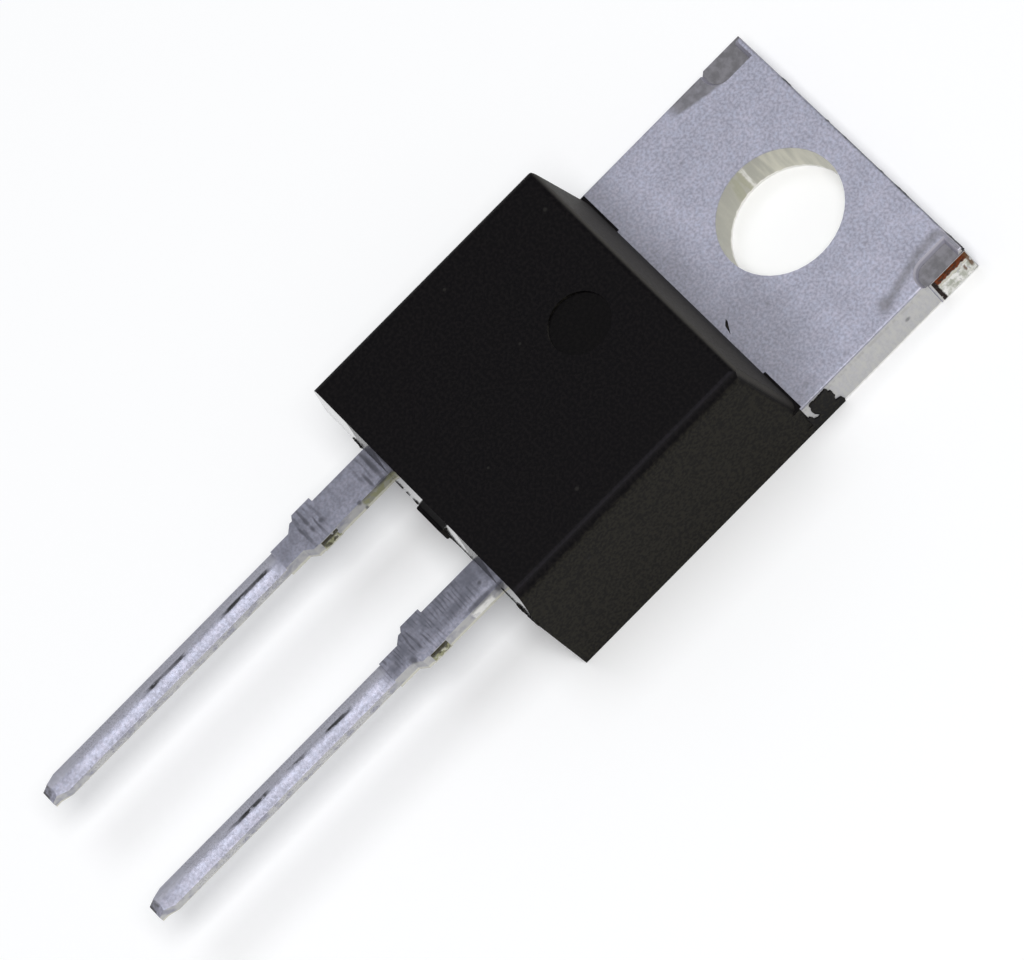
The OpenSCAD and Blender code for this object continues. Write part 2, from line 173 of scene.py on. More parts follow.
# Tab: faint spots on its face, as (x, y), and a patch of painted shade there and a dot on its right
# side, as (centre, radii)
FAINT_SPOTS = [(4.75, -1.55), (1.8, -2.05), (4.5, -2.9), (-3.4, -0.9), (2.7, 1.0), (4.55, -2.6)]
SPOT_R = 0.07
SHADE_PATCH = ((2.2, -2.15, TAB_TOP), (1.9, 0.6, 0.6))
WALL_DOT = ((5.0, 0.3, 0.65), (0.1, 0.08, 0.08))
# Hole: a bright shear streak on its left wall, and the olive smear beside it
STREAK_Y = (0.03, 0.2)
SMEAR_Y = (-0.55, 0.03)
# Torn ends of the tie bars: bare copper starts at this height, with a rusty hook-shaped mark below it
COPPER_Z = 0.8
HOOK_Y = 2.42
HOOK_Z = (0.35, 0.64)

# Leads: darkness of the cross marks on the flat stretch and of the streaks on the crowned one,
# as (y, darkness)
LEFT_CROSS = [(-16.6, 0.0), (-15.7, 0.1), (-15.5, 0.8), (-15.0, 1.0), (-14.8, 0.7), (-14.6, 0.1),
              (-13.5, 0.05), (-13.3, 0.6), (-13.0, 0.7), (-12.85, 1.0), (-12.6, 0.7)]
RIGHT_CROSS = [(-16.6, 0.9), (-15.95, 0.9), (-15.7, 0.7), (-15.4, 1.0), (-14.75, 0.9), (-14.5, 0.6),
               (-14.3, 0.8), (-13.4, 0.8), (-13.15, 0.4), (-12.95, 0.1), (-12.6, 0.1)]
LEFT_STREAK = [(-22.0, 0.0), (-21.6, 0.4), (-21.4, 0.9), (-20.9, 0.5), (-20.3, 0.8), (-20.0, 0.2),
               (-18.8, 0.1), (-18.5, 0.8), (-18.2, 1.0), (-17.6, 0.7), (-17.0, 0.9), (-16.8, 0.0)]
RIGHT_STREAK = [(-23.2, 0.0), (-22.6, 0.3), (-22.0, 0.9), (-21.2, 0.8), (-21.0, 0.2), (-20.4, 0.1),
                (-20.2, 0.8), (-19.8, 0.6), (-19.5, 0.1), (-18.9, 0.2), (-18.7, 1.0), (-18.0, 0.7),
                (-17.8, 0.0)]
STREAK_X = -0.03
STREAK_HALF = 0.06
# Leads: how dull the flat stretch is and the share of that at its right side, and the pitch of its lines
LEFT_WORN = (0.72, 0.8)
RIGHT_WORN = (0.92, 0.45)
LEFT_PITCH = 0.21
RIGHT_PITCH = 0.12
# Leads: the stretch of their right walls near the body that has another colour, in Y
LEFT_PATCH_Y = (-13.72, -12.5)
RIGHT_PATCH_Y = (-13.75, -13.0)

# Leads: dark notches, dots and a strip along the right one's edge, as (centre, radii)
LEFT_LEAD_SPOTS = [
    ((-1.98, -13.8, 2.98), (0.06, 0.07, 0.12)),
    ((-1.96, -13.74, 2.55), (0.1, 0.05, 0.08)),
    ((-1.98, -12.95, 2.97), (0.04, 0.2, 0.1)),
    ((-2.78, -15.22, 2.98), (0.14, 0.06, 0.1)),
    ((-2.47, -15.22, 2.98), (0.12, 0.05, 0.1)),
    ((-2.47, -14.89, 2.98), (0.08, 0.06, 0.1)),
    ((-2.66, -15.5, 2.98), (0.16, 0.04, 0.1)),
    ((-2.54, -12.84, 2.98), (0.6, 0.07, 0.1)),
    ((-2.25, -13.2, 2.98), (0.3, 0.05, 0.1)),
]
RIGHT_LEAD_SPOTS = [
    ((3.05, -13.3, 2.98), (0.085, 0.52, 0.1)),
    ((2.63, -13.0, 2.98), (0.06, 0.06, 0.1)),
    ((2.88, -15.75, 2.98), (0.14, 0.1, 0.1)),
    ((3.12, -12.72, 2.9), (0.08, 0.1, 0.2)),
]

# Torn flash along the seam of the lead end: separate runs, each as (x, reach)
SEAM_FLASH = [
    [(-3.66, 0.0), (-3.6, 0.02), (-3.4, 0.03), (-3.22, 0.06), (-3.14, 0.0)],
    [(-1.66, 0.0), (-1.62, 0.012), (-1.3, 0.01), (-1.26, 0.0)],
    [(-1.16, 0.0), (-1.1, 0.012), (-0.98, 0.01), (-0.94, 0.0)],
    [(-0.86, 0.0), (-0.8, 0.012), (-0.62, 0.02), (-0.55, 0.0)],
    [(0.5, 0.0), (0.6, 0.03), (1.06, 0.025), (1.24, 0.01), (1.6, 0.01), (1.95, 0.01), (2.0, 0.0)],
    [(3.2, 0.0), (3.3, 0.01), (3.9, 0.01), (4.1, 0.05), (4.35, 0.03), (4.8, 0.02), (4.96, 0.0)],
]
FLASH_STEP = 0.045
FLASH_THICK = 0.03
FLASH_ROOT = 0.06
# How unevenly a torn fin is broken: shares of its step and reach, its droop as a share of its reach,
# and its tip's thickness as a share of its root's
FIN_STEPS = (0.6, 1.4)
FIN_REACHES = (0.55, 1.15)
FIN_DROOP = 0.3
FIN_TIP = 0.4
# Burrs along the upper edge of the tab's end, which stand out where its dark line is darker than this
BURR_FROM = 0.35
BURR_REACH = 0.035
BURR_THICK = 0.05
BURR_DROP = 0.06
# A sliver of moulding compound stuck to the tab beside the body
SLIVER_LINE = [(1.22, -3.16), (1.3, -3.2), (1.38, -3.26), (1.5, -3.3), (1.66, -3.36)]
SLIVER_HALF = [0.005, 0.04, 0.045, 0.03, 0.005]
SLIVER_HIGH = 0.025
SLIVER_SIDES = 10
SLIVER_ACROSS = (0.4, 0.9)

# A torn film of compound on the tab's right side, beside the body: its outline as (y, z)
FILM_X = 5.0
FILM_OUTLINE = [(-3.57, 0.05), (-3.57, 0.8), (-3.46, 0.72), (-3.4, 0.48), (-3.3, 0.42), (-3.2, 0.43),
                (-3.31, 0.67), (-3.29, 0.85), (-3.25, 1.07), (-3.24, 1.17), (-3.1, 1.16), (-2.89, 1.19),
                (-2.65, 1.21), (-2.64, 1.02), (-2.55, 0.93), (-2.56, 0.62), (-2.64, 0.42), (-2.5, 0.36),
                (-2.42, 0.2), (-2.43, 0.05)]
FILM_STEP = 0.05
FILM_TEAR = 0.018
FILM_SINK = 0.03
FILM_THICK = 0.04
FILM_THIN = 0.015

# Pale specks of filler in the body's surface, as (place, radius)
EPOXY_SPECKS = [((-3.4, -4.5, 4.5), 0.06), ((-3.9, -8.0, 4.5), 0.05), ((3.7, -9.3, 4.5), 0.06),
                ((1.2, -10.6, 4.5), 0.04), ((-0.9, -7.6, 4.5), 0.04), ((4.9, -6.2, 2.6), 0.05),
                ((4.85, -10.4, 3.4), 0.06), ((4.95, -8.3, 1.7), 0.05)]

# Broken faces where the tie bars and dam bars were cut: their lowest and highest corners as (y, z), just
# inside the cut, and how many ridges and finer tears a millimetre of Y and Z has
TIE_BREAK = ((EAR_FOOT + 0.02, 0.03), (TAB_END - 0.03, EAR_TOP - 0.02))
DAM_BREAK = ((BAR_Y[0] + 0.04, LEAD_BOTTOM + 0.03), (BAR_Y[1] - 0.04, LEAD_TOP - 0.03))
BREAK_STEP = 0.035
BREAK_DEPTH = 0.035
BREAK_SINK = 0.05
RIDGES = (9, 2.5)
TEARS = (22, 9)
TEAR_SHARE = 0.6

# Start of the random draws
DRAW_SEED = 3


class Paint:
    """A material's node tree, with short calls for the kinds of node that this scene uses."""

    def __init__(self, name):
        self.material = bpy.data.materials.new(name)
        self.material.use_nodes = True
        self.tree = self.material.node_tree
        self.shader = self.tree.nodes["Principled BSDF"]
        coordinates = self.node("ShaderNodeTexCoord")
        self.place = self.vector("SCALE", coordinates.outputs["Object"], scale=1 / MM)
        self.x, self.y, self.z = self.split(self.place)

    def node(self, kind, **settings):
        made = self.tree.nodes.new(kind)
        for key, value in settings.items():
            setattr(made, key, value)
        return made

    def feed(self, socket, value):
        """Links a socket to another node's output, or sets it to a number, vector or colour."""
        if isinstance(value, bpy.types.NodeSocket):
            self.tree.links.new(value, socket)
        else:
            socket.default_value = value

    def math(self, operation, a, b=0.0):
        made = self.node("ShaderNodeMath", operation=operation)
        self.feed(made.inputs[0], a)
        self.feed(made.inputs[1], b)
        return made.outputs[0]

    def times(self, *factors):
        """The product of masks and numbers."""
        product = factors[0]
        for factor in factors[1:]:
            product = self.math("MULTIPLY", product, factor)
        return product

    def most(self, *masks):
        """The largest of the masks."""
        largest = masks[0]
        for mask in masks[1:]:
            largest = self.math("MAXIMUM", largest, mask)
        return largest

    def vector(self, operation, a, b=(0, 0, 0), scale=1.0):
        made = self.node("ShaderNodeVectorMath", operation=operation)
        self.feed(made.inputs[0], a)
        self.feed(made.inputs[1], b)
        if operation == "SCALE":
            self.feed(made.inputs["Scale"], scale)
        return made.outputs["Value" if operation == "LENGTH" else "Vector"]

    def split(self, vector):
        """The three coordinates of a vector."""
        made = self.node("ShaderNodeSeparateXYZ")
        self.feed(made.inputs[0], vector)
        return made.outputs

    def wobbled(self, scale, amount):
        """The point's three coordinates, moved about by noise so that drawn edges come out uneven."""
        shift = self.vector("SUBTRACT", self.noise(scale, output="Color"), (0.5, 0.5, 0.5))
        return self.split(self.vector("ADD", self.place, self.vector("SCALE", shift, scale=amount)))

    def facing(self):
        """The surface's own direction, as three coordinates."""
        return self.split(self.node("ShaderNodeNewGeometry").outputs["True Normal"])

    def noise(self, scale, detail=2.0, stretch=(1, 1, 1), output="Fac"):
        """Noise with about scale features in a millimetre, before the stretch."""
        made = self.node("ShaderNodeTexNoise")
        self.feed(made.inputs["Vector"], self.vector("MULTIPLY", self.place, stretch))
        self.feed(made.inputs["Scale"], scale)
        self.feed(made.inputs["Detail"], detail)
        return made.outputs[output]

    def rise(self, value, low, high, start=0.0, end=1.0):
        """Goes smoothly from start to end as the value goes from low to high."""
        made = self.node("ShaderNodeMapRange", interpolation_type="SMOOTHSTEP")
        names = ("Value", "From Min", "From Max", "To Min", "To Max")
        for name, number in zip(names, (value, low, high, start, end)):
            self.feed(made.inputs[name], number)
        return made.outputs[0]

    def between(self, value, low, high, soft):
        """One from low to high, with soft edges."""
        return self.times(
            self.rise(value, low - soft, low + soft),
            self.rise(value, high - soft, high + soft, 1.0, 0.0),
        )

    def along(self, value, points):
        """The height of a line through the points (value, height)."""
        low = points[0][0]
        span = points[-1][0] - low
        floor = min(height for _, height in points)
        reach = max(height for _, height in points) - floor
        made = self.node("ShaderNodeValToRGB")
        share = self.math("DIVIDE", self.math("SUBTRACT", value, low), span)
        self.feed(made.inputs[0], share)
        stops = made.color_ramp.elements
        while len(stops) < len(points):
            stops.new(0.5)
        for stop, (at, height) in zip(stops, points):
            grey = (height - floor) / reach
            stop.position = (at - low) / span
            stop.color = (grey, grey, grey, 1)
        return self.math("ADD", self.times(made.outputs["Color"], reach), floor)

    def near(self, value, target, half_width, soft):
        """One where the value is nearer to the target than half_width, with soft edges."""
        gap = self.math("ABSOLUTE", self.math("SUBTRACT", value, target))
        return self.rise(gap, half_width - soft, half_width + soft, 1.0, 0.0)

    def spot(self, centre, radii, soft=0.3):
        """One inside an ellipsoid, with a soft edge."""
        away = self.vector("SUBTRACT", self.place, centre)
        share = self.vector("LENGTH", self.vector("DIVIDE", away, radii))
        return self.rise(share, 1 - soft, 1 + soft, 1.0, 0.0)

    def mix(self, mask, under, over):
        """The colour under, covered by the colour over as far as the mask goes."""
        made = self.node("ShaderNodeMix", data_type="RGBA")
        inputs = {socket.identifier: socket for socket in made.inputs}
        self.feed(inputs["Factor_Float"], mask)
        self.feed(inputs["A_Color"], under)
        self.feed(inputs["B_Color"], over)
        return next(s for s in made.outputs if s.identifier == "Result_Color")

    def bump(self, height, depth):
        """Raises the surface by depth millimetres where the height is one."""
        made = self.node("ShaderNodeBump")
        self.feed(made.inputs["Distance"], depth * MM)
        self.feed(made.inputs["Height"], height)
        self.feed(self.shader.inputs["Normal"], made.outputs[0])

    def finish(self, colour, roughness, metallic=0.0, specular=0.5):
        """Sets the shader's main values and gives back the material."""
        self.feed(self.shader.inputs["Base Color"], colour)
        self.feed(self.shader.inputs["Roughness"], roughness)
        self.feed(self.shader.inputs["Metallic"], metallic)
        self.feed(self.shader.inputs["Specular IOR Level"], specular)
        return self.material


def tin_plating(paint):
    """Matte tin: lavender grey with a soft fine speckle and a slow mottle."""
    speckle = paint.rise(paint.noise(11, detail=4), 0.3, 0.7)
    mottle = paint.rise(paint.noise(1.1, detail=3), 0.3, 0.7)
    fine = paint.times(speckle, TIN_SPECKLE_SHARE)
    blend = paint.math("ADD", fine, paint.times(mottle, 1 - TIN_SPECKLE_SHARE))
    tint = paint.rise(paint.noise(7, detail=3, stretch=(1, 1, 1.3)), 0.35, 0.65)
    return paint.mix(blend, TIN_DARK, paint.mix(tint, TIN_PINK, TIN_BLUE))


def tab_stains_and_painted_light(paint, colour):
    """The tie-bar tool's marks on the tab: two pressed pockets, whose walls are painted lighter against
    their shade, with a painted highlight on the right one's rim, a dull strip beside the left one and
    painted shade beside the right one.
    """
    x, y, _ = paint.wobbled(5, 0.1)
    on_face = paint.rise(paint.z, EAR_TOP - 0.12, EAR_TOP - 0.07)
    on_right = paint.rise(paint.x, EAR_SIDE, EAR_SIDE + 0.1)
    on_left = paint.rise(paint.x, -EAR_SIDE, -EAR_SIDE - 0.1)
    # dull tone for the left strip and the pocket floors, and for the painted shade beside the right
    # pocket
    dull = paint.mix(paint.rise(paint.noise(4, detail=3), 0.35, 0.65), STAIN_AND_SHADE_DULL, STAIN_AND_SHADE_GREY)
    reach = paint.rise(y, STRIP_ENDS - 0.15, STRIP_ENDS + 0.3)
    past_edge = paint.math("SUBTRACT", paint.along(y, LEFT_STAIN_EDGE), x)
    left = paint.times(paint.rise(past_edge, -0.06, 0.07), reach, on_face)
    colour = paint.mix(paint.times(left, 0.9), colour, dull)
    # painted shade of a shallow groove beside the right pocket, running out in a blot at its end
    band = paint.near(x, paint.along(y, RIGHT_BAND_LINE), RIGHT_BAND_HALF, 0.12)
    blot = paint.spot(*RIGHT_SHADE_BLOT, soft=0.7)
    right = paint.times(paint.most(paint.times(band, 0.65), paint.times(blot, 0.75)), reach)
    at_end = paint.rise(paint.y, TAB_END - 0.2, TAB_END - 0.13)
    lip = paint.times(on_right, paint.rise(paint.x, *RIGHT_LIP_X), at_end)
    colour = paint.mix(paint.times(paint.most(right, paint.times(lip, 0.75)), on_face), colour, dull)
    pocket = paint.times(on_face, paint.rise(paint.z, EAR_TOP + 0.04, EAR_TOP + 0.02))
    colour = paint.mix(pocket, colour, dull)
    # the pockets' walls are painted lighter than their floors against their own shade, and the right
    # one's upper rim carries a painted highlight
    sloping = paint.rise(paint.facing()[2], 0.97, 0.9)
    above_ears = paint.rise(paint.z, EAR_TOP - 0.02, EAR_TOP + 0.03)
    walls = paint.times(sloping, above_ears, paint.rise(paint.y, 0.9, 1.0))
    faint = paint.mix(0.6, dull, TIN_PINK)
    rim = paint.mix(paint.rise(paint.z, TAB_TOP - 0.09, TAB_TOP - 0.04), faint, TIN_RIM_HIGHLIGHT)
    colour = paint.mix(paint.times(walls, on_right), colour, rim)
    return paint.mix(paint.times(walls, on_left), colour, faint)


def tab_wall(paint, colour):
    """The tab's cut right side: painted shade on its rounded edge, pale grit, a white lower rim and a
    dark dot.
    """
    facing_right = paint.facing()[0]
    # painted shade on the rounded top edge, chosen by the way it faces, toning down its highlight
    edge = paint.times(paint.between(facing_right, 0.25, 0.85, 0.05), paint.rise(paint.x, 4.85, 4.9))
    colour = paint.mix(paint.times(edge, 0.4), colour, TIN_DARK)
    wall = paint.times(paint.rise(facing_right, 0.85, 0.95), paint.rise(paint.x, 4.5, 4.9))
    grit = paint.rise(paint.noise(8, stretch=(1, 1, 0.3)), 0.35, 0.7)
    colour = paint.mix(paint.times(wall, paint.rise(grit, 0.0, 1.0, 0.75, 1.0)), colour, TIN_WALL)
    lower_rim = paint.rise(paint.wobbled(9, 0.05)[2], 0.07, 0.04)
    colour = paint.mix(paint.times(wall, lower_rim), colour, TIN_WHITE)
    dot = paint.spot(*WALL_DOT, soft=0.6)
    return paint.mix(paint.times(dot, 0.7), colour, TIN_SHADE_AND_STAIN)


def tab_face(paint, colour):
    """The dark broken line along the tab's end, painted shade beside the body and in a patch, and dull
    spots.
    """
    _, y, z = paint.wobbled(9, 0.05)
    at_end = paint.rise(y, TAB_END - END_LINE_WIDTH, TAB_END - END_LINE_WIDTH / 2)
    end = paint.times(at_end, paint.rise(z, TAB_TOP - 0.17, TAB_TOP - 0.07))
    colour = paint.mix(paint.times(end, paint.along(paint.x, END_LINE), 0.8), colour, STAIN_DARK)
    on_face = paint.between(z, TAB_TOP - 0.07, TAB_TOP + 0.13, 0.03)
    # painted shade: the tab's face darkens towards the body
    shade = paint.times(paint.rise(y, BODY_FOOT + 0.2, BODY_FOOT + 1.5, 1.0, 0.0), on_face)
    colour = paint.mix(paint.times(shade, 0.42), colour, TIN_SHADE_AND_STAIN)
    # painted shade in a broad soft patch further out on the face
    patch = paint.times(paint.spot(*SHADE_PATCH, soft=0.9), on_face)
    colour = paint.mix(paint.times(patch, 0.3), colour, TIN_SHADE_AND_STAIN)
    for spot in FAINT_SPOTS:
        mark = paint.spot((*spot, TAB_TOP), (SPOT_R, SPOT_R, SPOT_R), soft=0.9)
        colour = paint.mix(paint.times(mark, 0.3), colour, TIN_SHADE_AND_STAIN)
    return colour


def hole_wall(paint, colour):
    """The punched wall of the mounting hole: cream, greyer towards -Y as painted shade, with shear marks
    and a bright lower rim.
    """
    _, y, z = paint.wobbled(6, 0.12)
    from_axis = paint.vector("LENGTH", paint.vector("MULTIPLY", paint.place, (1, 1, 0)))
    in_hole = paint.rise(from_axis, HOLE_R + 0.01, HOLE_R + 0.05, 1.0, 0.0)
    wall = paint.times(in_hole, paint.rise(paint.z, TAB_TOP - 0.07, TAB_TOP - 0.01, 1.0, 0.0))
    shear = paint.rise(paint.noise(5, detail=3, stretch=(1, 1, 0.12)), 0.35, 0.7)
    left = paint.rise(paint.x, -1.2, -1.4)
    # painted shade: the wall runs from grey towards -Y to cream towards the tab's end
    towards_end = paint.rise(paint.y, -1.5, 1.2, 0.2, 1.0)
    cream = paint.mix(paint.times(shear, towards_end), HOLE_SHADED_GREY, TIN_CREAM)
    cream = paint.mix(paint.rise(paint.y, 0.6, 1.8, 0.0, 0.5), cream, TIN_CREAM)
    colour = paint.mix(wall, colour, cream)
    smear = paint.times(wall, left, paint.between(y, *SMEAR_Y, 0.06), paint.rise(shear, 0.2, 0.8))
    colour = paint.mix(paint.times(smear, 0.45), colour, OLIVE_WALL)
    streak = paint.times(wall, left, paint.between(y, *STREAK_Y, 0.04), paint.rise(shear, 0.1, 0.6))
    lower_rim = paint.times(wall, paint.rise(z, 0.07, 0.13, 1.0, 0.0))
    return paint.mix(paint.most(paint.times(streak, 0.8), lower_rim), colour, TIN_WHITE)


def flat_marks(paint, colour, u, worn, pitch, cross):
    """A dull flat stretch beside the body, with dark lines across it."""
    past_body = paint.rise(paint.y, SEAM_Y + 0.2, SEAM_Y + 0.1)
    flat = paint.times(paint.rise(paint.y, CROWN_Y - 0.6, CROWN_Y + 0.3), past_body)
    dullness, right_share = worn
    blotches = paint.rise(paint.noise(2.2, detail=3), 0.35, 0.65, 0.7, 1.0)
    across = paint.rise(u, 0.15, 0.4, 1.0, right_share)
    colour = paint.mix(paint.times(flat, blotches, across, dullness), colour, TIN_WORN)
    uneven = paint.math("ADD", paint.y, paint.times(paint.noise(2.5, stretch=(0.3, 1, 1)), 0.3))
    hatch = paint.rise(paint.math("SINE", paint.times(uneven, 2 * math.pi / pitch)), 0.0, 0.9)
    patches = paint.rise(paint.noise(2.4, detail=3, stretch=(1, 1.6, 1)), 0.4, 0.6, 0.1, 0.75)
    lines = paint.times(flat, hatch, patches, across, paint.along(paint.y, cross))
    return paint.mix(lines, colour, TIN_LINE)


def crown_marks(paint, colour, u, streak):
    """Drawn streaks along the crowned stretch, painted light on its left half, and one dark broken line
    on its top.
    """
    crowned = paint.rise(paint.y, CROWN_Y + 0.05, CROWN_Y - 0.15)
    # painted light: the left half of the crown is painted paler
    pale = paint.times(crowned, paint.rise(u, 0.05, -0.1), 0.6)
    colour = paint.mix(pale, colour, TIN_PAINTED_LIGHT)
    drawn = paint.rise(paint.noise(1, detail=3, stretch=(16, 0.9, 1)), 0.45, 0.7)
    colour = paint.mix(paint.times(drawn, crowned, 0.3), colour, TIN_DARK)
    ragged = paint.rise(paint.noise(4, detail=3, stretch=(2, 0.6, 1)), 0.4, 0.48, 0.5, 1.6)
    on_top = paint.rise(paint.z, LEAD_TOP - 0.06, LEAD_TOP)
    line = paint.times(paint.near(u, STREAK_X, STREAK_HALF, 0.025), paint.along(paint.y, streak), ragged)
    return paint.mix(paint.times(line, crowned, on_top), colour, STAIN_DARK)


def tip_marks(paint, colour, u):
    """The left half of the tip, dulled and dark at its very end by the cut."""
    left_half = paint.rise(u, 0.1, 0.02)
    dull = paint.mix(paint.rise(paint.noise(8, detail=3), 0.4, 0.6), STAIN_AND_SHADE_DULL, TIN_DARK)
    tip = paint.rise(paint.wobbled(8, 0.12)[1], TIP_Y + 0.2, TIP_Y + 0.26, 1.0, 0.0)
    colour = paint.mix(paint.times(tip, left_half, 0.85), colour, dull)
    end = paint.rise(paint.wobbled(12, 0.05)[1], TIP_Y + 0.03, TIP_Y + 0.07, 1.0, 0.0)
    return paint.mix(paint.times(end, left_half), colour, TIN_SHADE_AND_STAIN)


def lead_marks(paint, colour, centre, worn, pitch, cross, streak):
    """A lead's tool marks, from the body to the tip; u is the way across it from its middle."""
    u = paint.math("SUBTRACT", paint.x, centre)
    colour = flat_marks(paint, colour, u, worn, pitch, cross)
    colour = crown_marks(paint, colour, u, streak)
    return tip_marks(paint, colour, u)


def lead_walls(paint, colour, patch_y, patch_colour, centre):
    """A lead's cut right side: pale grey, with a cream lower edge and a patch near the body."""
    wall = paint.times(paint.rise(paint.facing()[0], 0.6, 0.8), paint.rise(paint.y, BODY_FOOT, SEAM_Y))
    wall = paint.times(wall, paint.rise(paint.x, centre, centre + 0.2))
    _, y, z = paint.wobbled(7, 0.08)
    tone = paint.mix(paint.rise(paint.noise(3, detail=3), 0.28, 0.6), TIN_DARK, TIN_WALL)
    colour = paint.mix(paint.times(wall, 0.85), colour, tone)
    above_edge = paint.rise(z, LEAD_BOTTOM + 0.06, LEAD_BOTTOM + 0.12)
    patch = paint.times(wall, paint.between(y, *patch_y, 0.04), above_edge)
    worn_through = paint.rise(paint.noise(5, detail=3), 0.45, 0.6, 1.0, 0.6)
    colour = paint.mix(paint.times(patch, worn_through), colour, patch_colour)
    top = paint.times(patch, paint.rise(z, LEAD_TOP - 0.18, LEAD_TOP - 0.03))
    colour = paint.mix(paint.times(top, 0.5), colour, TIN_SHADE_AND_STAIN)
    edge = paint.times(wall, paint.rise(z, LEAD_BOTTOM + 0.15, LEAD_BOTTOM + 0.08))
    return paint.mix(edge, colour, TIN_CREAM)


def dark_spots(paint, colour, spots):
    """Small dark notches and smears."""
    for centre, radii in spots:
        colour = paint.mix(paint.times(paint.spot(centre, radii, soft=0.6), 0.8), colour, TIN_LINE)
    return colour


def make_tab_material():
    """Tinned copper of the tab and its lead."""
    paint = Paint("tinned_copper")
    colour = tin_plating(paint)
    colour = lead_marks(paint, colour, LEAD_LEFT_X, LEFT_WORN, LEFT_PITCH, LEFT_CROSS, LEFT_STREAK)
    colour = lead_walls(paint, colour, LEFT_PATCH_Y, OLIVE_WALL, LEAD_LEFT_X)
    colour = dark_spots(paint, colour, LEFT_LEAD_SPOTS)
    colour = tab_stains_and_painted_light(paint, colour)
    colour = tab_wall(paint, colour)
    colour = tab_face(paint, colour)
    colour = hole_wall(paint, colour)
    return finish_tin(paint, colour)


def make_lead_material():
    """Tinned copper of the separate lead."""
    paint = Paint("tinned_lead")
    colour = tin_plating(paint)
    colour = lead_marks(paint, colour, LEAD_RIGHT_X, RIGHT_WORN, RIGHT_PITCH, RIGHT_CROSS, RIGHT_STREAK)
    colour = lead_walls(paint, colour, RIGHT_PATCH_Y, TIN_WHITE, LEAD_RIGHT_X)
    colour = dark_spots(paint, colour, RIGHT_LEAD_SPOTS)
    return finish_tin(paint, colour)


def finish_tin(paint, colour):
    """The tin's finish: satin, with a fine grain, and glossier where the leads are drawn."""
    grain = paint.noise(14, detail=4)
    paint.bump(grain, TIN_DEPTH)
    before_tip = paint.rise(paint.y, TIP_Y + 0.6, TIP_Y + 1.6)
    drawn = paint.times(paint.rise(paint.y, CROWN_Y, CROWN_Y - 0.3), before_tip)
    satin = paint.rise(grain, 0.3, 0.7, *TIN_ROUGHNESS)
    roughness = paint.math("SUBTRACT", satin, paint.times(drawn, DRAWN_GLOSS))
    return paint.finish(colour, roughness, metallic=TIN_METALLIC)


def make_tie_break_material():
    """Where a tie bar was torn off the tab: bare copper above, pale torn metal below, brown borders."""
    paint = Paint("tie_bar_break")
    _, y, z = paint.wobbled(6, 0.1)
    colour = paint.mix(paint.rise(paint.noise(4, detail=3), 0.4, 0.65), TIN_WHITE, BREAK_GREY)
    copper = paint.mix(paint.rise(paint.noise(6, detail=3), 0.42, 0.62), COPPER_CUT, BROWN_MARK)
    colour = paint.mix(paint.between(z, COPPER_Z - 0.08, COPPER_Z + 0.02, 0.02), colour, TIN_CREAM)
    colour = paint.mix(paint.rise(z, COPPER_Z, COPPER_Z + 0.06), colour, copper)
    far = paint.times(paint.rise(y, TAB_END - 0.16, TAB_END - 0.1), paint.rise(z, 0.25, 0.4))
    hook = paint.times(paint.near(y, HOOK_Y, 0.035, 0.025), paint.between(z, *HOOK_Z, 0.05))
    colour = paint.mix(paint.times(paint.most(far, hook), 0.85), colour, RUST)
    at_foot = paint.rise(y, EAR_FOOT + 0.12, EAR_FOOT + 0.17, 1.0, 0.0)
    colour = paint.mix(at_foot, colour, BROWN_DARK)
    return paint.finish(colour, 0.6, specular=0.08)


def make_dam_break_material():
    """Where a dam bar was cut off a lead: a dark band above torn olive metal with pale specks."""
    paint = Paint("dam_bar_break")
    _, _, z = paint.wobbled(6, 0.08)
    specks = paint.rise(paint.noise(6, detail=2), 0.5, 0.62)
    colour = paint.mix(paint.times(specks, 0.7), OLIVE_WALL, TIN_CREAM)
    brown = paint.rise(paint.noise(5, detail=2), 0.52, 0.6)
    colour = paint.mix(paint.times(brown, 0.8), colour, OLIVE_DARK)
    colour = paint.mix(paint.rise(z, LEAD_TOP - 0.24, LEAD_TOP - 0.14), colour, OLIVE_DARK)
    colour = paint.mix(paint.rise(z, LEAD_BOTTOM + 0.1, LEAD_BOTTOM + 0.06), colour, TIN_CREAM)
    return paint.finish(colour, 0.5, metallic=0.2)


def make_burr_material():
    """Dull, darkened metal of the burrs along the tab's end."""
    paint = Paint("burr")
    colour = paint.mix(paint.rise(paint.noise(9), 0.35, 0.65), STAIN_DARK, TIN_SHADE_AND_STAIN)
    return paint.finish(colour, 0.55, metallic=0.5)


